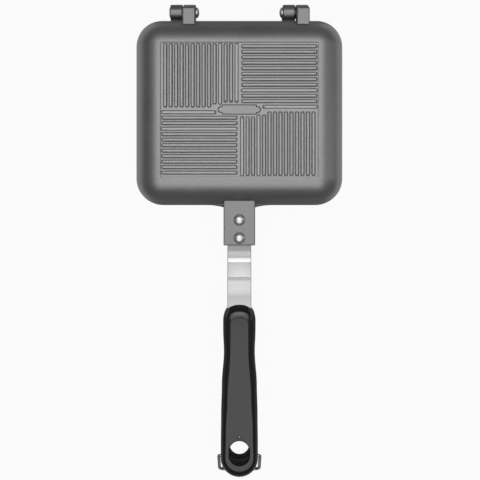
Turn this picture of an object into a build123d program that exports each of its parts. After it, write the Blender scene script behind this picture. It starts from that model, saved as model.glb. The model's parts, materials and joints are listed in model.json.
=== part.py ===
from build123d import *
import math
import os

# Camping sandwich toaster, closed, lying on its lower pan.
# Lengths are millimetres. While it is built, the origin is the middle of the closed pans,
# X runs across, +Y runs to the hinges, -Y to the grips and +Z up. The upper half is modelled,
# and the lower half is the same half turned over about the Y axis.

# Pans
pan_width = 159.4
pan_length = 142.0
pan_height = 23.0  # from the middle of the joint to the outer flat
corner_radius = 20.5
shoulder_radius = 19.5  # the round wall between rim and flat
pan_wall = 4.0
rim_gap = 0.3  # between the two closed rims

# Grooves in the outer flat
groove_pitch = 4.14
groove_width = 2.4
groove_depth = 0.7
groove_start = 1.2  # from the centre lines of the flat
groove_margin_x = 1.0  # from the edge of the flat
groove_margin_y = 1.1

# Plain sunk panel in the middle of the flat
panel_width = 32.4
panel_height = 7.5
panel_middle_width = 25.4
panel_wing_height = 4.9
panel_chamfer = 1.4
panel_depth = 0.7
panel_margin = 1.1  # from the panel to the grooves

# Hinges
hinge_spread = 87.4  # between the middles of the two hinges
lug_width = 9.8
lug_side_gap = 0.4  # between the two lugs of a hinge
lug_height = 16.0
lug_round = 1.0
barrel_radius = 6.0
barrel_gap = 1.9  # from the barrel to the edge of the pans
hinge_pin_diameter = 5.0
hinge_pin_clearance = 0.05  # all round
hinge_head_diameter = 7.9
hinge_head_height = 2.2
hinge_tail_height = 0.9
hinge_end_gap = 0.15  # under the head and the tail

# Handle tab
tab_width = 24.2
tab_length = 31.5  # beyond the edge of the pan
tab_height = 13.5
tab_roof = 5.0
tab_skirt_bottom = 4.0  # height of the lower edge of the side walls
tab_round = 1.2
tab_root_wall = 2.0  # between the pan and the inside of the tab
web_reach = 14.0  # small webs beside the tab
web_depth = 2.2
web_height = 5.0
web_hollow_x = 0.42  # where the web's hollow edge passes, in shares of its reach and depth
web_hollow_y = 0.34

# Strap
strap_width = 18.3
strap_thickness = 2.0
strap_side_gap = 0.3
strap_rise = 3.5  # from tab to grip
ramp_start = 41.0  # from the edge of the pan
ramp_length = 14.5
ramp_start_radius = 22.0
ramp_end_radius = 5.0
tang_width = 12.0
shoulder_depth = 10.0  # how far the full width goes into the grip

# Strap rivets
rivet_diameter = 5.0
rivet_clearance = 0.05
rivet_head_diameter = 8.9
rivet_head_height = 2.9
rivet_tail_height = 1.5
rivet_spacing = 13.9
rivet_edge = 5.6  # from the free end of the tab to the nearer rivet

# Grips
grip_start = 76.8  # from the edge of the pan to the nose
grip_length = 131.9
grip_bottom = 1.0  # above the middle of the joint
grip_thickness = 17.5
bevel_height = 5.0
nose_half_width = 12.45
waist_half_width = 11.8
palm_half_width = 13.35
end_half_width = 14.25
waist_share = 0.27  # of the grip's length, from the nose
palm_share = 0.47
nose_curve_half = 0.8  # shares of the nose's half width and length, on its round front
nose_curve_run = 0.25
nose_full_run = 0.9
nose_pull = 0.4  # of the outline's tangent at the tip
nose_bevel = 8.2  # plan widths of the bevel round the flat top
front_bevel = 5.2
rear_bevel = 3.7
end_bevel = 5.6
tang_gap = 0.15  # round the strap inside the grip
hole_width = 15.2
hole_length = 18.5
hole_edge = 10.1  # from the hole to the end of the grip
grip_pin_diameter = 3.5
grip_pin_clearance = 0.05
grip_pin_edge = 3.0  # from the pin's centre to the hanging hole
tang_end_gap = 0.5  # from the tang to the hanging hole

# Latch bail
wire_diameter = 2.4
wire_clearance = 0.2  # round the wire in the sides of the grip
bail_side_gap = 0.4  # between the grip and the wire
bail_pivot_height = 9.0
bail_pivot_edge = 15.6  # from the end of the grip
bail_end_length = 4.5  # of the wire ends inside the grip
bail_corner_radius = 4.0
bail_end_clearance = 0.3  # between the crossbar and the lower grip

# Places that follow from the sizes
pan_edge = pan_length / 2
rim_z = rim_gap / 2
flat_half_x = pan_width / 2 - shoulder_radius
flat_half_y = pan_length / 2 - shoulder_radius
pin_y = pan_edge + barrel_gap + barrel_radius
lug_offset = (lug_width + lug_side_gap) / 2
tab_end_y = -pan_edge - tab_length
rivet_front_y = tab_end_y + rivet_edge
rivet_rear_y = rivet_front_y + rivet_spacing
strap_low_z = tab_height - tab_roof - strap_thickness / 2
strap_high_z = strap_low_z + strap_rise
nose_y = -pan_edge - grip_start
grip_end_y = nose_y - grip_length
grip_top = grip_bottom + grip_thickness
hole_y = grip_end_y + hole_edge + hole_length / 2
hole_front_y = hole_y + hole_length / 2
grip_pin_y = hole_front_y + grip_pin_edge
tang_end_y = hole_front_y + tang_end_gap
shoulder_y = nose_y - shoulder_depth
bail_leg_x = end_half_width + bail_side_gap + wire_diameter / 2
bail_pivot_y = grip_end_y + bail_pivot_edge

# The crossbar clears the rear edge of the lower grip's flat, which is the point of its end
# that lies furthest from the pivot.
flat_end_reach = math.hypot(bail_pivot_edge - end_bevel, grip_top + bail_pivot_height)
bail_length = flat_end_reach + bail_end_clearance + wire_diameter / 2
# Let go, the bail hangs against the end of the lower grip.
crossbar_rest = bail_pivot_edge + bail_end_clearance + wire_diameter / 2
bail_angle = math.degrees(math.asin(crossbar_rest / bail_length))

# The frame of the finished part: the middle of its footprint, at the height it lies on
back_y = pin_y + barrel_radius
front_y = bail_pivot_y - crossbar_rest - wire_diameter / 2
to_part_frame = Location((0, -(back_y + front_y) / 2, pan_height))


def headed_pin(diameter, length, head_diameter, head_height, tail_diameter, tail_height):
    """Pin along Z from z = 0 down to -length, with a domed head above and a low domed tail."""
    axis_top = (0, head_height)
    half = diameter / 2
    head = head_diameter / 2
    tail = tail_diameter / 2
    outline = Wire(
        [
            Edge.make_line((0, -length - tail_height), axis_top),
            Edge.make_tangent_arc(axis_top, (1, 0), (head, 0)),
            Edge.make_line((head, 0), (half, 0)),
            Edge.make_line((half, 0), (half, -length)),
            Edge.make_line((half, -length), (tail, -length)),
            Edge.make_tangent_arc((0, -length - tail_height), (1, 0), (tail, -length)),
        ]
    )
    profile = Plane.XZ * make_face(outline)
    return revolve(profile, Axis.Z)


def panel_half_height(x):
    """Half the height of the sunk panel at x, and 0 beside it."""
    if abs(x) <= panel_middle_width / 2:
        return panel_height / 2
    if abs(x) <= panel_width / 2:
        return panel_wing_height / 2
    return 0.0


def panel_half_width(y):
    """Half the width of the sunk panel at y, and 0 above or below it."""
    if abs(y) <= panel_wing_height / 2:
        return panel_width / 2
    if abs(y) <= panel_height / 2:
        return panel_middle_width / 2
    return 0.0


def groove(length):
    """One groove along X from x = 0, cut down from z = 0, with rounded ends."""
    slot = Pos(length / 2, 0) * SlotOverall(length, groove_width)
    return extrude(slot, -groove_depth)


def groove_pattern():
    """Upright grooves in two opposite quarters of the flat and level grooves in the others."""
    reach_x = flat_half_x - groove_margin_x
    reach_y = flat_half_y - groove_margin_y
    cutters = []
    for i in range(int(reach_x / groove_pitch)):
        x = (i + 0.5) * groove_pitch
        near = panel_half_height(x - groove_width / 2)
        start = near + panel_margin if near > 0 else groove_start
        cut = groove(reach_y - start)
        cutters.append(Pos(-x, start) * Rot(Z=90) * cut)
        cutters.append(Pos(x, -start) * Rot(Z=-90) * cut)
    for i in range(int(reach_y / groove_pitch)):
        y = (i + 0.5) * groove_pitch
        near = panel_half_width(y - groove_width / 2)
        start = near + panel_margin if near > 0 else groove_start
        cut = groove(reach_x - start)
        cutters.append(Pos(start, y) * cut)
        cutters.append(Pos(-start, -y) * Rot(Z=180) * cut)
    return [Pos(Z=pan_height) * cut for cut in cutters]


def sunk_panel():
    """Cutter for the plain panel: a bar with cut corners and a lower wing at each end."""
    middle = panel_middle_width / 2
    top = panel_height / 2
    end = panel_width / 2
    wing = panel_wing_height / 2
    quarter = [
        (middle - panel_chamfer, top),
        (middle, wing),
        (end - panel_chamfer, wing),
        (end, wing - panel_chamfer),
    ]
    right = quarter + [(x, -y) for x, y in reversed(quarter)]
    left = [(-x, -y) for x, y in right]
    panel = make_face(Polyline(*right, *left, close=True))
    return Pos(Z=pan_height) * extrude(panel, -panel_depth)


def lug(x):
    """Hinge lug round the pin axis: a barrel towards the other pan, a flat-topped block away."""
    tangent_angle = math.asin(barrel_radius / lug_height)
    touch_y = pin_y + barrel_radius * math.cos(tangent_angle)
    touch_z = barrel_radius * math.sin(tangent_angle)
    root_y = pan_edge - shoulder_radius / 2
    side = Plane.YZ * make_face(
        Polyline(
            (root_y, rim_z),
            (pin_y, rim_z),
            (touch_y, touch_z),
            (pin_y, lug_height),
            (root_y, lug_height),
            close=True,
        )
    )
    block = extrude(side, lug_width / 2, both=True)
    rounded = block.edges().filter_by(Axis.Y).group_by(Axis.Z)[-1]
    rounded += block.edges().filter_by(Axis.X).group_by(Axis.Z)[-1].sort_by(Axis.Y)[-1:]
    block = fillet(rounded, lug_round)
    barrel = Pos(0, pin_y, 0) * Rot(Y=90) * Cylinder(barrel_radius, lug_width)
    return Pos(X=x) * (block + barrel)


def tab():
    """Handle tab: an upside-down channel that holds the end of the strap."""
    root_y = -pan_edge + pan_wall
    body = Pos(0, (root_y + tab_end_y) / 2, (tab_height + tab_skirt_bottom) / 2) * Box(
        tab_width, root_y - tab_end_y, tab_height - tab_skirt_bottom
    )
    ends = body.edges().filter_by(Axis.Z).group_by(Axis.Y)[0]
    body = fillet(ends, tab_round)
    top = body.faces().sort_by(Axis.Z)[-1].edges()
    body = fillet(top, tab_round / 2)
    near_x = tab_width / 2 - tab_round
    far_x = tab_width / 2 + web_reach
    hollow_x = tab_width / 2 + web_reach * web_hollow_x
    web = make_face(
        [
            Line((near_x, root_y), (far_x, root_y)),
            Line((far_x, root_y), (far_x, -pan_edge)),
            ThreePointArc(
                (far_x, -pan_edge),
                (hollow_x, -pan_edge - web_depth * web_hollow_y),
                (near_x, -pan_edge - web_depth),
            ),
            Line((near_x, -pan_edge - web_depth), (near_x, root_y)),
        ]
    )
    web_solid = Pos(Z=rim_z) * extrude(web, web_height)
    return body + web_solid + mirror(web_solid, Plane.YZ)


def tab_channel():
    """The room inside the tab, open below and at its free end."""
    start_y = -pan_edge - tab_root_wall
    ceiling = tab_height - tab_roof
    width = strap_width + 2 * strap_side_gap
    length = start_y - tab_end_y + tab_round
    return Pos(0, start_y - length / 2, ceiling - pan_height / 2) * Box(width, length, pan_height)


def pan():
    """Upper pan: casting with round shoulders, cooking hollow, lugs, tab, grooves and panel."""
    shell = Pos(Z=rim_z) * extrude(
        RectangleRounded(pan_width, pan_length, corner_radius), pan_height - rim_z
    )
    shell = fillet(shell.faces().sort_by(Axis.Z)[-1].edges(), shoulder_radius)
    hollow = extrude(
        RectangleRounded(pan_width - 2 * pan_wall, pan_length - 2 * pan_wall, corner_radius - pan_wall),
        pan_height - pan_wall,
    )
    hollow = fillet(hollow.faces().sort_by(Axis.Z)[-1].edges(), shoulder_radius - pan_wall)
    lugs = [lug(middle_x + lug_offset) for middle_x in (-hinge_spread / 2, hinge_spread / 2)]
    pin_hole = Cylinder(hinge_pin_diameter / 2 + hinge_pin_clearance, pan_width)
    rivet_hole = Pos(Z=tab_height) * Cylinder(rivet_diameter / 2 + rivet_clearance, pan_height)
    cutters = [
        hollow,
        tab_channel(),
        sunk_panel(),
        Pos(0, pin_y, 0) * Rot(Y=90) * pin_hole,
        Pos(Y=rivet_front_y) * rivet_hole,
        Pos(Y=rivet_rear_y) * rivet_hole,
    ]
    return (shell + [tab(), *lugs]) - [*cutters, *groove_pattern()]


def strap():
    """Flat steel strap: level in the tab, a ramp outwards, level again into the grip."""
    start_y = -pan_edge - tab_root_wall - strap_side_gap
    ramp_y = -pan_edge - ramp_start
    route = Plane.YZ * FilletPolyline(
        (start_y, strap_low_z),
        (ramp_y, strap_low_z),
        (ramp_y - ramp_length, strap_high_z),
        (tang_end_y, strap_high_z),
        radius=[ramp_start_radius, ramp_end_radius],
    )
    section = Plane(origin=route @ 0, x_dir=(1, 0, 0), z_dir=route % 0) * Rectangle(
        strap_width, strap_thickness
    )
    bar = sweep(section, path=route)
    side_cut = (strap_width - tang_width) / 2
    tang_length = shoulder_y - tang_end_y
    for side in (-1, 1):
        cut_x = side * (tang_width + side_cut) / 2
        cut_y = shoulder_y - tang_length
        bar -= Pos(cut_x, cut_y, strap_high_z) * Box(side_cut, 2 * tang_length, strap_thickness * 2)
    rivet_hole = Cylinder(rivet_diameter / 2 + rivet_clearance, pan_height)
    bar -= Pos(0, rivet_front_y, strap_low_z) * rivet_hole
    bar -= Pos(0, rivet_rear_y, strap_low_z) * rivet_hole
    pin_hole = Cylinder(grip_pin_diameter / 2 + grip_pin_clearance, pan_height)
    return bar - Pos(0, grip_pin_y, strap_high_z) * pin_hole


def strap_rivet():
    """Round-head rivet through tab and strap, with its closing head under the strap."""
    return Pos(Z=tab_height) * headed_pin(
        rivet_diameter,
        tab_roof + strap_thickness,
        rivet_head_diameter,
        rivet_head_height,
        rivet_head_diameter,
        rivet_tail_height,
    )


def grip_outline(nose_inset, front_inset, rear_inset, end_inset):
    """Plan of the grip, drawn in from its widest outline by the given amounts."""
    end_radius = end_half_width - rear_inset
    end_centre_y = grip_end_y + end_inset + end_radius
    tip_y = nose_y - nose_inset
    front_half = nose_half_width - front_inset
    waist_half = waist_half_width - front_inset * waist_half_width / nose_half_width
    palm_half = palm_half_width - (front_inset + rear_inset) / 2
    nose_run = nose_half_width - front_inset / 2
    side_points = [
        (0, tip_y),
        (front_half * nose_curve_half, tip_y - nose_run * nose_curve_run),
        (front_half, tip_y - nose_run * nose_full_run),
        (waist_half, nose_y - grip_length * waist_share),
        (palm_half, nose_y - grip_length * palm_share),
        (end_radius, end_centre_y),
    ]
    side = Spline(*side_points, tangents=[(1, 0), (0, -1)], tangent_scalars=[nose_pull, 1.0])
    end = ThreePointArc(
        (end_radius, end_centre_y),
        (0, grip_end_y + end_inset),
        (-end_radius, end_centre_y),
    )
    return make_face([side, end, mirror(side, Plane.YZ)])


def grip():
    """Moulded grip: flat inner face, upright sides, bevels up to a flat outer face."""
    base = Pos(Z=grip_bottom) * grip_outline(0, 0, 0, 0)
    upright = grip_thickness - bevel_height
    body = extrude(base, upright)
    bevel_base = Pos(Z=upright) * base
    bevel_top = Pos(Z=grip_top) * grip_outline(nose_bevel, front_bevel, rear_bevel, end_bevel)
    body += loft([bevel_base, bevel_top], ruled=True)
    slot_width = strap_width + 2 * tang_gap
    slot_thickness = strap_thickness + 2 * tang_gap
    mouth_length = shoulder_depth + tang_gap
    body -= Pos(0, nose_y - mouth_length / 2 + tang_gap, strap_high_z) * Box(
        slot_width, mouth_length + 2 * tang_gap, slot_thickness
    )
    slot_length = nose_y - tang_end_y + tang_gap
    body -= Pos(0, nose_y - slot_length / 2, strap_high_z) * Box(
        tang_width + 2 * tang_gap, slot_length, slot_thickness
    )
    hole = extrude(Pos(0, hole_y) * SlotOverall(hole_length, hole_width, rotation=90), 2 * grip_top)
    body -= hole
    body -= Pos(0, grip_pin_y, grip_top) * Cylinder(
        grip_pin_diameter / 2 + grip_pin_clearance, 3 * grip_top
    )
    ear_depth = bail_end_length + wire_clearance
    for side in (-1, 1):
        ear_x = side * (end_half_width - ear_depth / 2 + wire_clearance)
        body -= Pos(ear_x, bail_pivot_y, bail_pivot_height) * Rot(Y=90) * Cylinder(
            wire_diameter / 2 + wire_clearance, ear_depth + 2 * wire_clearance
        )
    return body


def grip_pin():
    """Plain pin through grip and tang, flush with both faces of the grip."""
    return Pos(0, grip_pin_y, grip_bottom + grip_thickness / 2) * Cylinder(
        grip_pin_diameter / 2, grip_thickness
    )


def hinge_pin(side):
    """Riveted hinge pin, with its domed head towards the middle of the toaster."""
    stack = 2 * lug_width + lug_side_gap
    pin = headed_pin(
        hinge_pin_diameter,
        stack + 2 * hinge_end_gap,
        hinge_head_diameter,
        hinge_head_height,
        hinge_head_diameter,
        hinge_tail_height,
    )
    head_x = side * (hinge_spread / 2 - stack / 2 - hinge_end_gap)
    return Pos(head_x, pin_y, 0) * Rot(Y=-90 * side) * pin


def bail():
    """Bent wire loop: both ends turned into the sides of the upper grip, crossbar between."""
    angle = math.radians(bail_angle)
    down = Vector(0, -math.sin(angle), -math.cos(angle))
    swing_plane = Plane(
        origin=(0, bail_pivot_y, bail_pivot_height), x_dir=(1, 0, 0), z_dir=Vector(1, 0, 0).cross(down)
    )
    end_x = end_half_width - bail_end_length
    bend_radius = bail_leg_x - end_half_width
    route = swing_plane * FilletPolyline(
        (end_x, 0),
        (bail_leg_x, 0),
        (bail_leg_x, bail_length),
        (-bail_leg_x, bail_length),
        (-bail_leg_x, 0),
        (-end_x, 0),
        radius=[bend_radius, bail_corner_radius, bail_corner_radius, bend_radius],
    )
    section = Plane(origin=route @ 0, z_dir=route % 0) * Circle(wire_diameter / 2)
    return sweep(section, path=route)


def turned_over(piece):
    """The lower half's copy of a piece of the upper half."""
    return Rot(Y=180) * piece


os.makedirs("parts", exist_ok=True)
upper_half = {
    "pan": pan(),
    "strap": strap(),
    "strap_rivet_front": Pos(Y=rivet_front_y) * strap_rivet(),
    "strap_rivet_rear": Pos(Y=rivet_rear_y) * strap_rivet(),
    "grip": grip(),
    "grip_pin": grip_pin(),
}
pieces = {
    "hinge_pin_left": hinge_pin(-1),
    "hinge_pin_right": hinge_pin(1),
    "latch_bail": bail(),
}
for name, piece in upper_half.items():
    pieces["upper_" + name] = piece
    pieces["lower_" + name] = turned_over(piece)

for name, piece in pieces.items():
    export_step(to_part_frame * piece, "parts/" + name + ".step")

print("hinge axis y", round((to_part_frame * Pos(0, pin_y, 0)).position.Y, 3), "z", pan_height)
print("bail pivot y", round((to_part_frame * Pos(0, bail_pivot_y, 0)).position.Y, 3))
print("bail pivot z", pan_height + bail_pivot_height, "rest angle", round(bail_angle, 3))
print("bail length", round(bail_length, 3))
print("hanging hole y", round((to_part_frame * Pos(0, hole_y, 0)).position.Y, 3))
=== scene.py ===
import json
import math

import bmesh
import bpy
import numpy as np
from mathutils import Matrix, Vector


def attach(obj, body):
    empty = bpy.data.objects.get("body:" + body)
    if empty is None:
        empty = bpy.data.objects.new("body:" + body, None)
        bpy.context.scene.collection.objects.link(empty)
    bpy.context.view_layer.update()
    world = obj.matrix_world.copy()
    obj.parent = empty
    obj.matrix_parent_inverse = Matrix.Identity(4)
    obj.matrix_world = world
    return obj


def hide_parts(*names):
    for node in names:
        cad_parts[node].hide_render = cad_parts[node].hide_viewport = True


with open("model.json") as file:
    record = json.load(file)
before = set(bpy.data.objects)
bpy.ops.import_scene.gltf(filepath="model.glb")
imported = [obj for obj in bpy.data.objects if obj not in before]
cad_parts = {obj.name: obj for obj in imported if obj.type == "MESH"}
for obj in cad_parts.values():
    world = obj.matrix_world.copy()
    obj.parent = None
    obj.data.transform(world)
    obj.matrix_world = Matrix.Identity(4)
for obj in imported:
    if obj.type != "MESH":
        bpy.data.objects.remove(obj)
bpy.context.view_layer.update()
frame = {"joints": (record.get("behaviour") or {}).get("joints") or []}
joints = {joint["name"]: joint for joint in frame["joints"]}

# Floor, light and camera.
# The camera looks straight down on the closed toaster. Two large soft lights hang above, with
# a gap between them where the camera is, a bright strip over the back one, and a weak strip
# on the right. The surround is dim and the floor pale.
joint_plane = joints["pan_hinge"]["pos_m"][2]
camera_x, camera_y = 0.0005, 0.0004
camera_height = 0.670
view_width = 0.3744
scene = bpy.context.scene
scene.view_settings.view_transform = "Standard"
camera = bpy.data.objects.new("camera", bpy.data.cameras.new("camera"))
camera.data.sensor_width = 36.0
camera.data.lens = camera.data.sensor_width * camera_height / view_width
camera.data.clip_start = 0.01
camera.location = (camera_x, camera_y, joint_plane + camera_height)
scene.collection.objects.link(camera)
scene.camera = camera


def soft_light(name, place, target, width, depth, radiance):
    """An area light that shines from place towards target, as bright per unit area as told."""
    light = bpy.data.lights.new(name, "AREA")
    light.shape = "RECTANGLE"
    light.size = width
    light.size_y = depth
    light.energy = radiance * math.pi * width * depth
    lamp = bpy.data.objects.new(name, light)
    lamp.location = place
    lamp.rotation_euler = (Vector(target) - Vector(place)).to_track_quat("-Z", "Y").to_euler()
    scene.collection.objects.link(lamp)


soft_light("overhead_front", (0.0, -0.60, 1.5), (0.0, -0.60, 0), 1.4, 1.0, 1.15)
soft_light("overhead_back", (0.0, 0.415, 1.5), (0.0, 0.415, 0), 1.4, 0.64, 1.5)
soft_light("back_strip", (0.0, 0.50, 1.45), (0.0, 0.50, 0), 0.6, 0.11, 1.9)
soft_light("right_strip", (1.25, 0.2, 0.75), (0, 0, 0), 0.35, 1.0, 0.7)


class Nodes:
    """A material's nodes: add() makes any node, and Value does sums on its number sockets."""

    def __init__(self, tree):
        self.tree = tree

    def feed(self, node, **inputs):
        """Set or link sockets, by name with _ for a space, or by number as i0, i1 and so on."""
        for key, value in inputs.items():
            socket = node.inputs[int(key[1:]) if key[1:].isdigit() else key.replace("_", " ")]
            if isinstance(value, Value):
                value = value.socket
            if isinstance(value, bpy.types.NodeSocket):
                self.tree.links.new(value, socket)
            else:
                socket.default_value = value
        return node

    def add(self, kind, settings=None, **inputs):
        """Make a node, set its settings, then feed its sockets."""
        node = self.tree.nodes.new(kind)
        for key, setting in (settings or {}).items():
            if key == "stops":
                ramp = node.color_ramp
                while len(ramp.elements) < len(setting):
                    ramp.elements.new(0.5)
                for element, (position, tone) in zip(ramp.elements, setting):
                    element.position = position
                    element.color = (tone, tone, tone, 1)
            else:
                setattr(node, key, setting)
        return self.feed(node, **inputs)

    def read(self, kind, output, settings=None, **inputs):
        """The number that comes out of a new node."""
        return Value(self, self.add(kind, settings, **inputs).outputs[output])

    def mix(self, factor, first, second):
        """Colour between two colours."""
        node = self.add("ShaderNodeMix", {"data_type": "RGBA"}, i0=factor, i6=first, i7=second)
        return node.outputs[2]

    def noise(self, place, scale, detail=2.0, roughness=0.5):
        """Noise of 0 to 1 over a place vector, in cells per metre."""
        kind = "ShaderNodeTexNoise"
        return self.read(kind, 0, Vector=place, Scale=scale, Detail=detail, Roughness=roughness)

    def ramp(self, value, *stops):
        """Grey curve through the stops, each a position and a tone."""
        return self.read("ShaderNodeValToRGB", 0, {"stops": stops}, Fac=value)

    def bump(self, height, strength, distance):
        """Normal of a surface whose height varies."""
        node = self.add("ShaderNodeBump", None, Height=height, Strength=strength, Distance=distance)
        return node.outputs[0]

    def stretched(self, scale):
        """Object coordinates, scaled by three numbers."""
        place = self.add("ShaderNodeTexCoord").outputs["Object"]
        return self.add("ShaderNodeMapping", None, Vector=place, Scale=scale).outputs[0]


class Value:
    """A number socket: an expression on it adds the Math nodes."""

    def __init__(self, nodes, socket):
        self.nodes = nodes
        self.socket = socket

    def sum(self, operation, other):
        return self.nodes.read("ShaderNodeMath", 0, {"operation": operation}, i0=self, i1=other)

    def __add__(self, other):
        return self.sum("ADD", other)

    def __mul__(self, other):
        return self.sum("MULTIPLY", other)

    __radd__ = __add__
    __rmul__ = __mul__


def new_material(name):
    """A material with its Principled shader wired up: itself, its nodes and the shader."""
    material = bpy.data.materials.new(name)
    material.use_nodes = True
    material.node_tree.nodes.clear()
    nodes = Nodes(material.node_tree)
    shader = nodes.add("ShaderNodeBsdfPrincipled")
    nodes.output = nodes.add("ShaderNodeOutputMaterial", None, Surface=shader.outputs[0])
    return material, nodes, shader


# The floor is pale and a little rough. What the camera sees of it is brought to white.
# Beside the pans but not the handles, a patch of it glows half white for glossy rays only,
# a painted reflection that the walls of the pans mirror on their left and right. That patch
# fades in between the near and far places, in metres. The scales and the offset keep a ramp's
# input within 0 and 1.
floor_reach = 3.0
floor_tone = 0.42
floor_seen_share = 0.95
floor_mirrored_share = 0.5
glow_near_x, glow_far_x = 0.07746, 0.09165
glow_near_y, glow_far_y = -0.03, 0.0
glow_x_scale, glow_y_scale, glow_y_offset = 50.0, 10.0, 0.5
floor_mesh = bpy.data.meshes.new("floor")
floor_corners = [(floor_reach * x, floor_reach * y, 0) for x, y in ((-1, -1), (1, -1), (1, 1), (-1, 1))]
floor_mesh.from_pydata(floor_corners, [], [(0, 1, 2, 3)])
floor = bpy.data.objects.new("floor", floor_mesh)
scene.collection.objects.link(floor)
floor_material, floor_nodes, floor_shader = new_material("floor")
floor_nodes.feed(
    floor_shader,
    Base_Color=(floor_tone, floor_tone, floor_tone, 1),
    Roughness=0.9,
    Specular_IOR_Level=0.2,
)
floor_seen = floor_nodes.read("ShaderNodeLightPath", "Is Camera Ray")
floor_mirrored = floor_nodes.read("ShaderNodeLightPath", "Is Glossy Ray")
floor_place = floor_nodes.add("ShaderNodeTexCoord").outputs["Object"]
floor_x = floor_nodes.read("ShaderNodeSeparateXYZ", "X", Vector=floor_place)
floor_y = floor_nodes.read("ShaderNodeSeparateXYZ", "Y", Vector=floor_place)
floor_beside = floor_nodes.ramp(
    floor_x * floor_x * glow_x_scale,
    (glow_near_x**2 * glow_x_scale, 0.0),
    (glow_far_x**2 * glow_x_scale, 1.0),
)
floor_back = floor_nodes.ramp(
    floor_y * glow_y_scale + glow_y_offset,
    (glow_near_y * glow_y_scale + glow_y_offset, 0.0),
    (glow_far_y * glow_y_scale + glow_y_offset, 1.0),
)
# Painted reflection: the patch beside the pans where the floor glows white for glossy rays.
floor_glow_patch = floor_beside * floor_back
floor_white = floor_nodes.add("ShaderNodeEmission", None, Strength=1.0)
floor_mix = floor_nodes.add(
    "ShaderNodeMixShader",
    None,
    Fac=floor_seen * floor_seen_share + floor_mirrored * floor_glow_patch * floor_mirrored_share,
    i1=floor_shader.outputs[0],
    i2=floor_white.outputs[0],
)
floor_nodes.feed(floor_nodes.output, Surface=floor_mix.outputs[0])
floor_mesh.materials.append(floor_material)

# The surround is lighter above and dim near the horizon, and the camera sees it pale.
world = bpy.data.worlds.new("surround")
scene.world = world
world.use_nodes = True
world.node_tree.nodes.clear()
world_nodes = Nodes(world.node_tree)
world_direction = world_nodes.add("ShaderNodeTexCoord").outputs["Generated"]
world_height = world_nodes.read("ShaderNodeSeparateXYZ", "Z", Vector=world_direction)
world_tone = world_nodes.ramp(world_height, (0.0, 0.13), (0.5, 0.13), (0.85, 0.28), (1.0, 0.36))
world_seen = world_nodes.read("ShaderNodeLightPath", "Is Camera Ray")
world_colour = world_nodes.mix(world_seen, world_tone, (0.9, 0.9, 0.9, 1))
world_light = world_nodes.add("ShaderNodeBackground", None, Color=world_colour, Strength=1.0)
world_nodes.add("ShaderNodeOutputWorld", None, Surface=world_light.outputs[0])


# Pans.
# Two like aluminium castings with round shoulders and a grey non-stick coat. The outer flat
# has four fields of grooves, level and upright by turns, round a plain sunk panel. All sizes
# are in millimetres, from the middle of the joint face of the upper half.
halves = ((1, "upper"), (-1, "lower"))
pan_half_width = 79.7
pan_half_length = 71.0
pan_depth = 23.0
pan_corner = 20.1
pan_shoulder = 19.5
pan_wall = 4.0
rim_half_gap = 0.15
rim_round = 0.5
corner_steps = 14
shoulder_steps = 14
rim_steps = 3
groove_pitch = 4.14
groove_half_width = 1.45
groove_slope = 0.6
groove_depth = 0.7
field_rise = 0.2
groove_start = 1.2
groove_reach_x = 59.1
groove_reach_y = 50.3
groove_reach_slack = 0.1
field_edge = 0.5
panel_outline = ((11.3, 3.75), (12.7, 2.45), (14.8, 2.45), (16.2, 1.05))
panel_gap = 1.1
wing_overlap = 0.5
# Painted shade: how much darker the sunk panel, and the lugs and tabs as a whole, are painted.
panel_painted_shade = 0.25
block_painted_shade = 0.65
diagonal = 0.7
hinge_y = 78.9
millimetre = 0.001
joined_distance = 2e-6
least_edge = 1e-7
bevel_steps = 3
bevel_least_angle = 35
pan_centre_y = joints["pan_hinge"]["pos_m"][1] / millimetre - hinge_y


def placed(points, half):
    """Points of the upper half, from the middle of its joint face, put in the part's frame.

    The lower half (half = -1) is the same turned over about the Y axis."""
    x, y, z = np.moveaxis(np.asarray(points, float), -1, 0)
    moved = np.stack([half * x, y + pan_centre_y, half * z + joint_plane / millimetre], -1)
    return moved * millimetre


def sheet_faces(rows, columns, closed_rows, closed_columns, first=0):
    """Quads between neighbouring points of a rows by columns grid, as index rows."""
    r = np.arange(rows if closed_rows else rows - 1)[:, None]
    c = np.arange(columns if closed_columns else columns - 1)[None, :]
    r2 = (r + 1) % rows
    c2 = (c + 1) % columns
    corners = [r * columns + c, r * columns + c2, r2 * columns + c2, r2 * columns + c]
    return np.stack([k.ravel() for k in np.broadcast_arrays(*corners)], -1) + first


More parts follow.
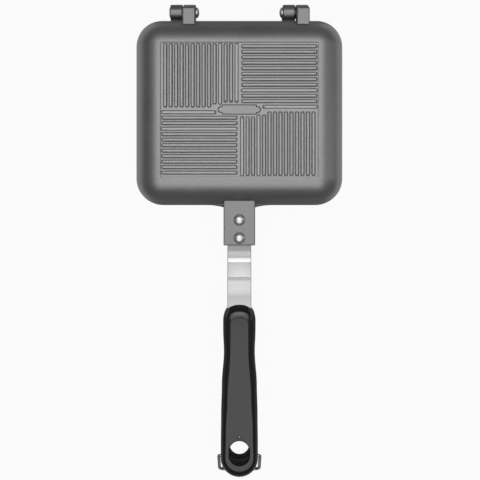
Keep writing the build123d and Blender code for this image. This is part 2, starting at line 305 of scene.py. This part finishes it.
def build(name, surfaces, body, material, sharp=40.0, bevel=None, replaced=(), marks=None):
    """One piece from grids of points: each surface is (points, closed rows, closed columns, caps).

    caps lists the grid's rows that are filled in flat. Points that meet are joined. marks
    names values, one or a grid of them, for the first surface, which the material reads."""
    vertices = []
    faces = []
    count = 0
    for points, closed_rows, closed_columns, caps in surfaces:
        rows, columns = points.shape[:2]
        vertices.append(points.reshape(-1, 3))
        faces += sheet_faces(rows, columns, closed_rows, closed_columns, count).tolist()
        for cap in caps:
            start = count + (cap % rows) * columns
            faces.append(list(range(start, start + columns)))
        count += rows * columns
    mesh = bpy.data.meshes.new(name)
    mesh.from_pydata(np.concatenate(vertices), [], faces)
    first = surfaces[0][0].shape[:2]
    for mark, values in (marks or {}).items():
        every = np.zeros(count)
        every[: first[0] * first[1]] = np.broadcast_to(values, first).ravel()
        mesh.attributes.new(mark, "FLOAT", "POINT").data.foreach_set("value", every)
    work = bmesh.new()
    work.from_mesh(mesh)
    bmesh.ops.remove_doubles(work, verts=work.verts, dist=joined_distance)
    bmesh.ops.dissolve_degenerate(work, edges=work.edges, dist=least_edge)
    bmesh.ops.recalc_face_normals(work, faces=work.faces)
    work.to_mesh(mesh)
    work.free()
    mesh.shade_smooth()
    mesh.set_sharp_from_angle(angle=math.radians(sharp))
    piece = bpy.data.objects.new(name, mesh)
    scene.collection.objects.link(piece)
    if bevel:
        rounding = piece.modifiers.new("rounded", "BEVEL")
        rounding.width = bevel * millimetre
        rounding.segments = bevel_steps
        rounding.limit_method = "ANGLE"
        rounding.angle_limit = math.radians(bevel_least_angle)
        rounding.use_clamp_overlap = False
        rounding.harden_normals = True
    mesh.materials.append(material)
    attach(piece, body)
    if replaced:
        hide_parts(*replaced)
    return piece


def smooth(t):
    """Smooth step from 0 to 1."""
    t = np.clip(t, 0, 1)
    return t * t * (3 - 2 * t)


def panel_depth_at(x, y):
    """How far inside the sunk panel a point is: the least distance to the sides of its outline.

    The panel is a middle and a lower wing at each end, both with corners cut aslant."""
    x, y = np.abs(x), np.abs(y)
    (x0, y0), (x1, y1), (x2, y2), (x3, _) = panel_outline
    middle = np.minimum(y0 - y, ((x1 - x) + (y0 - y) * (x1 - x0) / (y0 - y1)) * diagonal)
    wing = np.minimum(np.minimum(y2 - y, x3 - x), ((x3 - x) + (y2 - y) - (x3 - x2)) * diagonal)
    return np.maximum(np.minimum(middle, x1 - x + wing_overlap), wing)


def flat_relief(x, y):
    """Grooves and panel of the outer flat at x and y: height, share of groove, painted shade.

    A groove is all that lies within half its width of a straight stretch, with sloping sides.
    The painted shade on a wall is 4 c (1 - c), where c is the share of the full depth, and
    the panel has a little more all over: darker colour standing in for shadow in the hollows."""
    groove = np.zeros_like(x)
    panel_x = panel_outline[3][0] + panel_gap
    panel_mid_x = panel_outline[0][0] + panel_gap
    upright = x * y < 0
    across = np.abs(x)
    along = np.abs(y)
    for first, second, reach_first, reach_second, field in (
        (across, along, groove_reach_x, groove_reach_y, upright),
        (along, across, groove_reach_y, groove_reach_x, ~upright),
    ):
        lane = np.floor(first / groove_pitch)
        middle = (lane + 0.5) * groove_pitch
        if first is across:
            near = middle - groove_half_width
            start = np.where(near < panel_x, panel_outline[1][1] + panel_gap, groove_start)
            start = np.where(near < panel_mid_x, panel_outline[0][1] + panel_gap, start)
        else:
            start = np.where(middle < panel_outline[1][1] + groove_half_width, panel_x, groove_start)
        inner = start + groove_half_width
        outer = reach_second - groove_half_width
        beyond = np.maximum(np.maximum(inner - second, second - outer), 0)
        distance = np.hypot(first - middle, beyond)
        cut = smooth((groove_half_width - distance) / groove_slope)
        inside = middle + groove_half_width < reach_first + groove_reach_slack
        cut = np.where(field & inside, cut, 0)
        groove = np.maximum(groove, cut)
    panel = smooth(panel_depth_at(x, y) / groove_slope)
    sunk = np.maximum(groove, panel)
    out = np.maximum(across - groove_reach_x, along - groove_reach_y)
    height = -np.maximum(sunk * groove_depth, smooth(out / field_edge) * field_rise)
    return height, groove, 4 * sunk * (1 - sunk) + panel_painted_shade * panel


def groove_stations(reach, half):
    """Grid lines across the flat, from -half to half, the same on both sides of its middle.

    They lie close together on the slopes of each groove, round the panel and at the ends of
    the grooves. Of two that nearly meet, the outer one is kept."""
    middles = (np.arange(int(reach / groove_pitch)) + 0.5) * groove_pitch
    slope_lines = np.array([0.84, 1.06, 1.26, 1.46])
    slopes = middles[:, None] + np.concatenate([-slope_lines, slope_lines])
    panel_long_side = np.arange(0.3, 4.6, 0.3)
    panel_wing = np.arange(11.2, 16.6, 0.35)
    groove_ends = reach + np.array([-1.3, -0.9, -0.55, -0.25, 0, 0.25, 0.5])
    lines = np.concatenate([slopes.ravel(), [0.0], panel_long_side, panel_wing, groove_ends, [half]])
    lines = np.unique(np.round(lines, 3))
    least_gap = 0.12
    lines = lines[np.append(np.diff(lines) > least_gap, True)]
    return np.concatenate([-lines[:0:-1], lines])


flat_x = groove_stations(groove_reach_x, pan_half_width - pan_corner)
flat_y = groove_stations(groove_reach_y, pan_half_length - pan_corner)
grid_x, grid_y = np.meshgrid(flat_x, flat_y)
flat_height, flat_groove, flat_painted_shade = flat_relief(grid_x, grid_y)
flat_points = np.stack([grid_x, grid_y, pan_depth + flat_height], -1)


def shoulder_ring():
    """Points along the edge of the flat, counter-clockwise, and the way out from each.

    At a corner the point repeats while the way out turns through a right angle."""
    edge_x, edge_y = flat_x[-1], flat_y[-1]
    sides = [
        np.stack([np.full_like(flat_y, edge_x), flat_y], -1),
        np.stack([flat_x[::-1], np.full_like(flat_x, edge_y)], -1),
        np.stack([np.full_like(flat_y, -edge_x), flat_y[::-1]], -1),
        np.stack([flat_x, np.full_like(flat_x, -edge_y)], -1),
    ]
    turn = np.linspace(0, math.pi / 2, corner_steps + 1)[1:-1]
    points = []
    ways = []
    for quarter, side in enumerate(sides):
        angle = quarter * math.pi / 2
        points += [side, np.repeat(side[-1:], len(turn), 0)]
        ways += [np.full(len(side), angle), angle + turn]
    ways = np.concatenate(ways)
    return np.concatenate(points), np.stack([np.cos(ways), np.sin(ways)], -1)


def pan_surfaces():
    """The casting's skin: flat, then rings out over the shoulder, round the rim and up inside.

    A ring lies a distance out from the edge of the flat, at one height."""
    edge, way = shoulder_ring()
    lean = np.linspace(0, math.pi / 2, shoulder_steps + 1)
    inner = pan_corner - pan_wall
    brim = pan_corner - pan_shoulder
    outer_out = brim + pan_shoulder * np.sin(lean)
    outer_up = pan_depth - field_rise - (pan_shoulder - field_rise) * (1 - np.cos(lean))
    bend = np.linspace(0, math.pi / 2, rim_steps + 1)
    rim_out = pan_corner - rim_round * (1 - np.cos(bend))
    rim_up = rim_half_gap + rim_round * (1 - np.sin(bend))
    lip_out = inner + rim_round * (1 - np.sin(bend))
    lip_up = rim_half_gap + rim_round * (1 - np.cos(bend))
    ceiling = pan_depth - pan_wall
    inner_out = brim + (inner - brim) * np.sin(lean[::-2])
    inner_up = ceiling - (inner - brim) * (1 - np.cos(lean[::-2]))
    out = np.concatenate([[0], outer_out, rim_out, lip_out, inner_out])
    up = np.concatenate([outer_up[:1], outer_up, rim_up, lip_up, inner_up])
    ring = edge[None] + way[None] * out[:, None, None]
    height = np.broadcast_to(up[:, None, None], ring.shape[:2] + (1,))
    return flat_points, np.concatenate([ring, height], -1)


# The coat is a speckled grey. The grooves are made a little lighter. Their slopes, and the
# lugs and tabs that are marked as a whole, get painted shade: a darker colour for shadow.
groove_lightening = 0.18
painted_shade_strength = 0.42
cast_material, cast_nodes, cast_shader = new_material("cast_non_stick")
cast_place = cast_nodes.stretched((1, 1, 1))
cast_speckle = cast_nodes.noise(cast_place, 1500, 2.0, 0.6)
cast_mottle = cast_nodes.noise(cast_place, 45, 3.0)
cast_grain = cast_nodes.noise(cast_place, 2600, 3.0, 0.65)
cast_tone = cast_nodes.ramp(cast_speckle * 0.75 + cast_mottle * 0.25, (0.3, 0.0), (0.7, 1.0))
cast_groove = cast_nodes.read("ShaderNodeAttribute", "Fac", {"attribute_name": "groove"})
# Painted shade: the share of the dark colour, read from the shade marks.
cast_painted_shade = cast_nodes.read("ShaderNodeAttribute", "Fac", {"attribute_name": "shade"})
cast_plain = cast_nodes.mix(cast_tone, (0.265, 0.265, 0.269, 1), (0.365, 0.365, 0.371, 1))
# The grooves are made a little lighter.
cast_with_lighter_grooves = cast_nodes.mix(cast_groove * groove_lightening, cast_plain, (0.62, 0.62, 0.625, 1))
cast_nodes.feed(
    cast_shader,
    Base_Color=cast_nodes.mix(cast_painted_shade * painted_shade_strength, cast_with_lighter_grooves, (0.13, 0.13, 0.132, 1)),
    Metallic=0.9,
    Roughness=cast_mottle * 0.10 + cast_speckle * 0.08 + 0.32,
    Normal=cast_nodes.bump(cast_grain + cast_speckle * 0.6, 0.22, 0.00012),
)

pan_flat, pan_rings = pan_surfaces()
for half, name in halves:
    build(
        name + "_pan_shell",
        [
            (placed(pan_flat, half), False, False, ()),
            (placed(pan_rings, half), False, True, (-1,)),
        ],
        name + "_half",
        cast_material,
        sharp=50.0,
        replaced=(name + "_pan",),
        # painted shade on the groove slopes and the panel
        marks={"groove": flat_groove, "shade": flat_painted_shade},
    )


# Hinge lugs.
# Cast in one with each pan, two to a pan: a barrel round the hinge pin that widens outwards
# into a flat-topped block on the shoulder of the pan. The lugs of the two pans lie side by side.
hinge_x = 43.7
lug_half_width = 4.9
lug_from_middle = 5.1
lug_height = 16.0
lug_bevel = 1.0
barrel_radius = 6.0
barrel_steps = 28
root_steps = 10


def lug_side():
    """Side view of a lug as (y, z) points: round the barrel, up the front, over, down the root.

    The root follows the middle of the pan's wall, round the centre of its shoulder."""
    lean = math.asin(barrel_radius / lug_height)
    below = np.linspace(math.pi, 2 * math.pi + lean, barrel_steps)
    barrel = np.stack([hinge_y + barrel_radius * np.cos(below), barrel_radius * np.sin(below)], -1)
    wall_y, wall_z = pan_half_length - pan_shoulder, pan_depth - pan_shoulder
    wall_radius = pan_shoulder - pan_wall / 2
    rise = np.linspace(math.asin((lug_height - wall_z) / wall_radius), 0, root_steps)
    root = np.stack([wall_y + wall_radius * np.cos(rise), wall_z + wall_radius * np.sin(rise)], -1)
    foot = [(wall_y + wall_radius, rim_half_gap)]
    return np.concatenate([barrel, [(hinge_y, lug_height)], root, foot])


def prism(outline, start, end, axis):
    """A grid of two rows: a flat outline carried from start to end along an axis."""
    rows = []
    for at in (start, end):
        rows.append(np.insert(outline, axis, at, axis=1))
    return np.stack(rows)


lug_outline = lug_side()
for half, name in halves:
    for side in (-1, 1):
        middle = side * hinge_x + lug_from_middle
        hand = "left" if side * half < 0 else "right"
        block = prism(lug_outline, middle - lug_half_width, middle + lug_half_width, 0)
        build(
            name + "_lug_" + hand,
            [(placed(block, half), False, True, (0, -1))],
            name + "_half",
            cast_material,
            sharp=30.0,
            bevel=lug_bevel,
            # the whole lug is painted darker, as painted shade
            marks={"shade": block_painted_shade},
        )


# Handle tabs.
# Cast in one with each pan: an upside-down channel that holds the end of the strap, with
# small webs where it meets the rim.
tab_half_width = 12.1
tab_end_y = -102.5
tab_root_y = -68.0
tab_height = 13.5
tab_ceiling = 8.5
tab_skirt = 4.0
tab_inner_half = 9.45
tab_bevel = 0.9
web_overlap = 1.0
web_reach = 14.0
web_root = 3.0
web_depth = 2.2
web_tip = 0.02
web_height = 5.0
web_lift = 0.45
web_fullness = 0.8
web_stations = 12
web_round_steps = 7


def tab_section():
    """End view of the tab as (x, z) points: a channel, open below."""
    return np.array(
        [
            (-tab_half_width, tab_skirt),
            (-tab_half_width, tab_height),
            (tab_half_width, tab_height),
            (tab_half_width, tab_skirt),
            (tab_inner_half, tab_skirt),
            (tab_inner_half, tab_ceiling),
            (-tab_inner_half, tab_ceiling),
            (-tab_inner_half, tab_skirt),
        ]
    )


def web(side):
    """Grid of a web: stations from tab to tip, each a closed end view from root to free edge.

    The free edge runs in a hollow curve, the square of what is left of the run. The top falls
    to it in a quarter round. The root lies inside the pan's wall, and the underside a little
    above the rim, so that the rim's flat stays whole."""
    run = np.linspace(0, 1, web_stations)[:, None]
    x = tab_half_width - web_overlap + (web_reach + web_overlap) * run
    depth = web_depth * (1 - run) ** 2 + web_tip
    turn = np.linspace(0, math.pi / 2, web_round_steps)[None]
    out = np.concatenate([[[-web_root]], np.sin(turn), [[1.0, -web_root]]], 1)
    up = np.concatenate([[[1.0]], np.cos(turn) ** web_fullness, [[0.0, 0.0]]], 1)
    y = -pan_half_length - np.where(out < 0, out, out * depth)
    low = rim_half_gap + web_lift
    z = low + (web_height - low) * up * np.ones_like(y)
    return np.stack([side * x * np.ones_like(y), y, z], -1)


channel = prism(tab_section(), tab_root_y, tab_end_y, 1)
for half, name in halves:
    build(
        name + "_tab",
        [(placed(channel, half), False, True, (0, -1))],
        name + "_half",
        cast_material,
        sharp=30.0,
        bevel=tab_bevel,
        # the whole tab is painted darker, as painted shade
        marks={"shade": block_painted_shade},
    )
    build(
        name + "_tab_webs",
        [(placed(web(side), half), False, True, (0, -1)) for side in (-1, 1)],
        name + "_half",
        cast_material,
        sharp=30.0,
    )


# Straps.
# Flat stainless strip, polished along its length and riveted into the tab: level inside the
# tab, a ramp outwards, then nearly level again into the grip, where it ends as a tang.
strap_half_width = 9.15
strap_half_thickness = 1.0
strap_edge_round = 0.45
strap_route = (
    (-73.3, 7.5),
    (-106.5, 7.5),
    (-113.9, 7.8),
    (-126.5, 11.0),
    (-129.5, 11.0),
    (-139.0, 10.75),
    (-158.0, 10.95),
)
strap_bends = (60.0, 18.0, 0.15, 60.0, 150.0)
strap_step = 0.15
guard = 0.02


def rounded_route(points, radii, step):
    """Points along a line of straight runs whose inner corners are arcs of the given radii.

    Each arc starts and ends where it touches its two runs. A guard point on each run, close
    to the arc, keeps the shading of the run level. Last, long gaps are divided evenly."""
    points = np.asarray(points, float)
    route = [points[:1]]
    for i, radius in enumerate(radii, 1):
        back = points[i - 1] - points[i]
        ahead = points[i + 1] - points[i]
        back /= np.linalg.norm(back)
        ahead /= np.linalg.norm(ahead)
        half_angle = math.acos(np.clip(back @ ahead, -1, 1)) / 2
        reach = radius / math.tan(half_angle)
        centre_way = (back + ahead) / np.linalg.norm(back + ahead)
        centre = points[i] + centre_way * radius / math.sin(half_angle)
        start = points[i] + back * reach - centre
        turn = math.pi - 2 * half_angle
        side = (points[i] - (start + centre)) / reach
        angle = np.linspace(0, turn, max(4, int(turn * radius / step) + 2))[:, None]
        route.append(points[i : i + 1] + back * (reach + guard))
        route.append(centre + start * np.cos(angle) + side * radius * np.sin(angle))
        route.append(points[i : i + 1] + ahead * (reach + guard))
    route.append(points[-1:])
    route = np.concatenate(route)
    gaps = np.linalg.norm(np.diff(route, axis=0), axis=1)
    dense = [route[:1]]
    for a, b, gap in zip(route[:-1], route[1:], gaps):
        count = max(1, int(gap / (4 * step)))
        share = np.linspace(0, 1, count + 1)[1:, None]
        dense.append(a + (b - a) * share)
    return np.concatenate(dense)


def swept(section, route, sideways):
    """A grid of the section's (across, up) points carried along a route in one plane.

    Across runs along the sideways vector, and up is square to it and to the route."""
    way = np.gradient(route, axis=0)
    way /= np.linalg.norm(way, axis=1, keepdims=True)
    up = np.cross(sideways, way)
    return route[:, None] + section[None, :, :1] * sideways + section[None, :, 1:] * up[:, None]


def rounded_bar(half_width, half_height, radius, steps=5):
    """A rectangle with round corners, as points round its edge."""
    turn = np.linspace(0, math.pi / 2, steps)
    corners = []
    for quarter, (sx, sy) in enumerate(((1, 1), (-1, 1), (-1, -1), (1, -1))):
        angle = turn + quarter * math.pi / 2
        x = sx * (half_width - radius) + radius * np.cos(angle)
        y = sy * (half_height - radius) + radius * np.sin(angle)
        corners.append(np.stack([x, y], -1))
    return np.concatenate(corners)


steel_material, steel_nodes, steel_shader = new_material("polished_strip")
steel_lines = steel_nodes.noise(steel_nodes.stretched((9.0, 0.12, 1.0)), 900, 3.0, 0.6)
steel_cloud = steel_nodes.noise(steel_nodes.stretched((1, 1, 1)), 60, 2.0)
steel_nodes.feed(
    steel_shader,
    Base_Color=steel_nodes.mix(steel_lines, (0.45, 0.448, 0.446, 1), (0.56, 0.557, 0.554, 1)),
    Metallic=1.0,
    Roughness=steel_lines * 0.06 + steel_cloud * 0.04 + 0.12,
    Normal=steel_nodes.bump(steel_lines, 0.12, 0.00005),
)

strap_points = [(0, y, z) for y, z in strap_route]
strap_line = rounded_route(strap_points, strap_bends, strap_step)
strap_section = rounded_bar(strap_half_width, strap_half_thickness, strap_edge_round)
strap_grid = swept(strap_section, strap_line, np.array([1.0, 0, 0]))
for half, name in halves:
    build(
        name + "_strap_strip",
        [(placed(strap_grid, half), False, True, (0, -1))],
        name + "_half",
        steel_material,
        sharp=50.0,
        replaced=(name + "_strap",),
    )


# Strap rivets.
# Bright steel rivets with round heads, two to a tab. Each goes through tab and strap, and
# its low tail is closed under the strap.
rivet_places = ((-96.9, "front"), (-83.0, "rear"))
rivet_head_radius = 4.45
rivet_head_height = 2.9
rivet_shank_radius = 2.5
rivet_tail_height = 1.5


def lathe(profile, around=48):
    """A grid from (radius, height) points turned round the Z axis."""
    profile = np.asarray(profile, float)
    angle = np.linspace(0, 2 * math.pi, around, endpoint=False)
    x = profile[:, :1] * np.cos(angle)
    y = profile[:, :1] * np.sin(angle)
    return np.stack([x, y, np.broadcast_to(profile[:, 1:], x.shape)], -1)


def dome(radius, height, foot, sign=1, steps=14):
    """Profile of a domed head from its crown out to its rim: part of an ellipse, then a foot."""
    angle = np.linspace(0, math.pi / 2, steps)
    points = np.stack([radius * np.sin(angle), sign * (foot + (height - foot) * np.cos(angle))], -1)
    return np.concatenate([points, [(radius, 0)]])


def pin_profile(head, head_height, shank, length, tail, tail_height):
    """Crown of the head down over the shank to the end of the low tail."""
    head_foot = 0.35
    tail_foot = 0.25
    top = dome(head, head_height, head_foot)
    bottom = dome(tail, tail_height, tail_foot, -1)[::-1] - (0, length)
    return np.concatenate([top, [(shank, 0)], [(shank, -length)], bottom])


rivet_material, rivet_nodes, rivet_shader = new_material("bright_rivet")
rivet_cloud = rivet_nodes.noise(rivet_nodes.stretched((1, 1, 1)), 700, 3.0)
rivet_nodes.feed(
    rivet_shader,
    Base_Color=rivet_nodes.mix(rivet_cloud, (0.66, 0.66, 0.66, 1), (0.80, 0.80, 0.80, 1)),
    Metallic=1.0,
    Roughness=rivet_cloud * 0.12 + 0.26,
    Normal=rivet_nodes.bump(rivet_cloud, 0.12, 0.00008),
)

rivet_grid = lathe(
    pin_profile(
        rivet_head_radius,
        rivet_head_height,
        rivet_shank_radius,
        tab_height - tab_ceiling + 2 * strap_half_thickness,
        rivet_head_radius,
        rivet_tail_height,
    )
)
for half, name in halves:
    for y, end in rivet_places:
        build(
            name + "_rivet_" + end,
            [(placed(rivet_grid + (0, y, tab_height), half), False, True, ())],
            name + "_half",
            rivet_material,
            replaced=(name + "_strap_rivet_" + end,),
        )


# Hinge pins.
# Riveted steel pins, one through each pair of lugs: a domed head on the side towards the
# middle, and a low closed end outside. They stay with the lower pan.
hinge_stack = 20.3
hinge_pin_head_x = 33.45
hinge_pin_radius = 2.5
hinge_head_radius = 3.95
hinge_head_height = 2.2
hinge_tail_height = 0.9
hinge_pin_grid = lathe(
    pin_profile(
        hinge_head_radius,
        hinge_head_height,
        hinge_pin_radius,
        hinge_stack,
        hinge_head_radius,
        hinge_tail_height,
    )
)
for side, hand in ((-1, "left"), (1, "right")):
    turned = np.stack(
        [-side * hinge_pin_grid[..., 2], -side * hinge_pin_grid[..., 0], hinge_pin_grid[..., 1]], -1
    )
    build(
        "hinge_rivet_" + hand,
        [(placed(turned + (side * hinge_pin_head_x, hinge_y, 0), 1), False, True, ())],
        "lower_half",
        rivet_material,
        replaced=("hinge_pin_" + hand,),
    )


# Grips.
# Two like mouldings of glossy black heat-proof plastic. The outer face is flat, with a bevel
# all round that is widest at the nose, and a hanging hole goes through near the end.
grip_nose_y = -147.8
grip_length = 131.9
grip_low = 1.0
grip_top = 18.5
grip_bevel = 5.0
grip_edge_round = 1.1
grip_side_round = 2.2
grip_foot_round = 0.8
grip_mouth_round = 0.9
grip_hole_y = -260.35
grip_hole_radius = 7.6
grip_hole_straight = 1.65
ridge_out = 0.51  # shares of the bevel's width and height, at the ridge between its facets
ridge_down = 0.2
grip_nose_run = 12.0
grip_nose_power = 2.2
grip_round_steps = 26
grip_side_steps = 60
grip_crowding = 1.7
grip_flat_rows = 7
grip_flat_tip = 8.4
grip_flat_nose_run = 6.4
grip_flat_nose_power = 2.4
grip_flat_end_inset = 5.6
grip_stations = (
    (0.0, 12.45),
    (19.0, 12.45),
    (36.0, 11.85),
    (61.0, 13.45),
    (84.0, 14.0),
    (108.0, 14.25),
    (140.0, 14.25),
)
grip_flat_stations = ((0.0, 6.6), (34.0, 6.8), (72.0, 9.0), (96.0, 10.2), (118.0, 10.6), (140.0, 10.6))


def eased(at, stations):
    """Half width at a distance from the nose: a smooth step between each pair of stations."""
    at = np.asarray(at, float)
    result = np.full_like(at, stations[-1][1])
    for (a, wa), (b, wb) in reversed(list(zip(stations[:-1], stations[1:]))):
        result = np.where(at < b, wa + (wb - wa) * smooth((at - a) / (b - a)), result)
    return result


def grip_outline(stations, tip, nose_run, power, end):
    """Plan of the grip as (x, y) points from the tip of the nose round to it again.

    The nose is a quarter of a superellipse, the side follows the stations, with points that
    crowd towards the end, the end is a quarter circle, and the other side mirrors them. All
    are distances from the nose."""
    angle = np.linspace(0, math.pi / 2, grip_round_steps)
    nose_at = tip + nose_run * (1 - np.cos(angle) ** (2 / power))
    nose_half = eased(np.full_like(angle, tip + nose_run), stations) * np.sin(angle) ** (2 / power)
    end_radius = stations[-1][1]
    side_run = end - end_radius - tip - nose_run
    side_at = tip + nose_run + side_run * (1 - np.linspace(1, 0, grip_side_steps) ** grip_crowding)
    side_half = eased(side_at, stations)
    turn = np.linspace(0, math.pi / 2, grip_round_steps)
    end_at = end - end_radius * (1 - np.sin(turn))
    end_half = end_radius * np.cos(turn)
    at = np.concatenate([nose_at, side_at[1:-1], end_at])
    half = np.concatenate([nose_half, side_half[1:-1], end_half])
    right = np.stack([half, grip_nose_y - at], -1)
    left = right[-2:0:-1] * (-1, 1)
    return np.concatenate([right, left])


def bend_rings(first, corner, last, steps=6):
    """Rings round a corner: a parabola between two rings that leans on a third."""
    t = np.linspace(0, 1, steps)[:, None, None]
    return (1 - t) ** 2 * first + 2 * t * (1 - t) * corner + t**2 * last


def ring_at(outline, height):
    """A plan outline at one height."""
    return np.column_stack([outline, np.full(len(outline), height)])[None]


def grip_grid():
    """Closed grid of the grip: round the outline by columns, round the wall by rows.

    The rows go from the mouth of the hole out over the flat, down bevel and side, in
    under the grip and up the hole. The bevel has two facets with a soft ridge between them.
    A point on the hole lies straight in from the outline."""
    wide = grip_outline(grip_stations, 0.0, grip_nose_run, grip_nose_power, grip_length)
    flat = grip_outline(
        grip_flat_stations,
        grip_flat_tip,
        grip_flat_nose_run,
        grip_flat_nose_power,
        grip_length - grip_flat_end_inset,
    )
    centre = np.array([0.0, grip_hole_y])

    def hole(outline):
        """Edge of the hole straight in from each point of an outline, and the way out to it.

        The edge is a circle's, at the end of a straight side each way from the centre."""
        way = outline - centre
        way /= np.linalg.norm(way, axis=1, keepdims=True)
        to_side = grip_hole_radius / np.maximum(np.abs(way[:, 0]), 1e-6)
        to_end = grip_hole_straight * np.abs(way[:, 1]) + np.sqrt(
            grip_hole_radius**2 - (grip_hole_straight * way[:, 0]) ** 2
        )
        on_side = to_side * np.abs(way[:, 1]) <= grip_hole_straight
        reach = np.where(on_side, to_side, to_end)
        return centre + way * reach[:, None], way

    def between(a, b, share):
        """A share of the way from a to b."""
        return a + (b - a) * share

    hole_edge, way = hole(flat)
    mouth_edge = hole_edge + way * grip_mouth_round
    shoulder_z = grip_top - grip_bevel
    mouth = ring_at(mouth_edge, grip_top)
    flat_rim = ring_at(flat - way * grip_edge_round, grip_top)
    crest = ring_at(flat, grip_top)
    ridge = ring_at(between(flat, wide, ridge_out), grip_top - ridge_down * grip_bevel)
    brink = ring_at(wide, shoulder_z)
    side_top = ring_at(wide, shoulder_z - grip_side_round)
    side_low = ring_at(wide, grip_low + grip_foot_round)
    foot = ring_at(wide, grip_low)
    foot_in = ring_at(wide - way * grip_foot_round, grip_low)
    hole_foot = ring_at(hole_edge, grip_low)
    hole_low = ring_at(hole_edge, grip_low + grip_mouth_round)
    hole_high = ring_at(hole_edge, grip_top - grip_mouth_round)
    rows = [
        between(mouth, flat_rim, np.linspace(0, 1, grip_flat_rows)[:-1, None, None]),
        bend_rings(flat_rim, crest, between(crest, ridge, 0.35)),
        bend_rings(between(crest, ridge, 0.75), ridge, between(ridge, brink, 0.25)),
        bend_rings(between(ridge, brink, 0.7), brink, side_top),
        bend_rings(side_low, foot, foot_in),
        bend_rings(ring_at(mouth_edge, grip_low), hole_foot, hole_low),
        bend_rings(hole_high, ring_at(hole_edge, grip_top), mouth)[:-1],
    ]
    return np.concatenate(rows)


grip_material, grip_nodes, grip_shader = new_material("black_moulding")
grip_place = grip_nodes.stretched((1, 1, 1))
grip_wave = grip_nodes.noise(grip_place, 130, 2.0)
grip_fine = grip_nodes.noise(grip_place, 1800, 3.0, 0.6)
grip_nodes.feed(
    grip_shader,
    Base_Color=grip_nodes.mix(grip_fine, (0.002, 0.002, 0.0022, 1), (0.006, 0.006, 0.0064, 1)),
    Roughness=grip_fine * 0.08 + grip_wave * 0.04 + 0.10,
    IOR=1.6,
    Normal=grip_nodes.bump(grip_wave + grip_fine * 0.08, 0.10, 0.0004),
)

grip_points = grip_grid()
for half, name in halves:
    build(
        name + "_grip_moulding",
        [(placed(grip_points, half), True, True, ())],
        name + "_half",
        grip_material,
        sharp=60.0,
        replaced=(name + "_grip",),
    )


# Grip pins.
# A small dark steel pin through each grip and the tang inside it, with a low domed head on
# the outer face.
grip_pin_y = -248.1
grip_pin_radius = 1.75
grip_pin_edge = 18.4
grip_pin_end = 0.8
grip_pin_end_cone = 0.05
grip_pin_chamfer = 0.4
grip_pin_crown = [(0.0, 19.0), (0.6, 18.97), (1.0, 18.87), (1.4, 18.68)]
grip_pin_shank = [
    (grip_pin_radius, grip_pin_edge),
    (grip_pin_radius, grip_pin_end + grip_pin_chamfer),
    (grip_pin_radius - grip_pin_chamfer, grip_pin_end + grip_pin_end_cone),
    (0, grip_pin_end),
]
grip_pin_grid = lathe(grip_pin_crown + grip_pin_shank)
pin_material, pin_nodes, pin_shader = new_material("dark_pin")
pin_cloud = pin_nodes.noise(pin_nodes.stretched((1, 1, 1)), 1500, 3.0)
pin_nodes.feed(
    pin_shader,
    Base_Color=pin_nodes.mix(pin_cloud, (0.12, 0.12, 0.12, 1), (0.22, 0.22, 0.22, 1)),
    Metallic=1.0,
    Roughness=pin_cloud * 0.15 + 0.3,
)
for half, name in halves:
    build(
        name + "_tang_pin",
        [(placed(grip_pin_grid + (0, grip_pin_y, 0), half), False, True, ())],
        name + "_half",
        pin_material,
        replaced=(name + "_grip_pin",),
    )


# Latch bail.
# One bent wire: its ends turn in the sides of the upper grip, and its crossbar swings under
# the lower grip to hold both together. Let go, it hangs against the end of the grip.
wire_radius = 1.2
bail_leg_x = 15.85
bail_end_x = 9.75
bail_length = 30.762
bail_rest_angle = math.radians(33.772)
bail_bends = (1.6, 4.0, 4.0, 1.6)
bail_step = 0.25
pivot_y, pivot_z = joints["latch_swing"]["pos_m"][1:]
bail_pivot = np.array([0.0, pivot_y / millimetre - pan_centre_y, (pivot_z - joint_plane) / millimetre])


def bail_route():
    """Line of the wire, and the way square to its plane.

    It goes out of the grip, down, across, up again and in, with a round bend at each corner."""
    down = np.array([0.0, -math.sin(bail_rest_angle), -math.cos(bail_rest_angle)])
    corners = [
        (bail_end_x, 0),
        (bail_leg_x, 0),
        (bail_leg_x, bail_length),
        (-bail_leg_x, bail_length),
        (-bail_leg_x, 0),
        (-bail_end_x, 0),
    ]
    points = [bail_pivot + np.array([x, 0, 0]) + down * reach for x, reach in corners]
    return rounded_route(points, bail_bends, bail_step), np.cross([1.0, 0, 0], down)


wire_material, wire_nodes, wire_shader = new_material("bright_wire")
wire_cloud = wire_nodes.noise(wire_nodes.stretched((1, 1, 1)), 1200, 3.0)
wire_nodes.feed(
    wire_shader,
    Base_Color=wire_nodes.mix(wire_cloud, (0.42, 0.42, 0.42, 1), (0.56, 0.56, 0.56, 1)),
    Metallic=1.0,
    Roughness=wire_cloud * 0.12 + 0.2,
    Normal=wire_nodes.bump(wire_cloud, 0.15, 0.00006),
)
bail_line, bail_normal = bail_route()
wire_turn = np.linspace(0, 2 * math.pi, 20, endpoint=False)
wire_section = wire_radius * np.stack([np.cos(wire_turn), np.sin(wire_turn)], -1)
build(
    "latch_wire",
    [(placed(swept(wire_section, bail_line, bail_normal), 1), False, True, (0, -1))],
    "latch",
    wire_material,
    replaced=("latch_bail",),
)
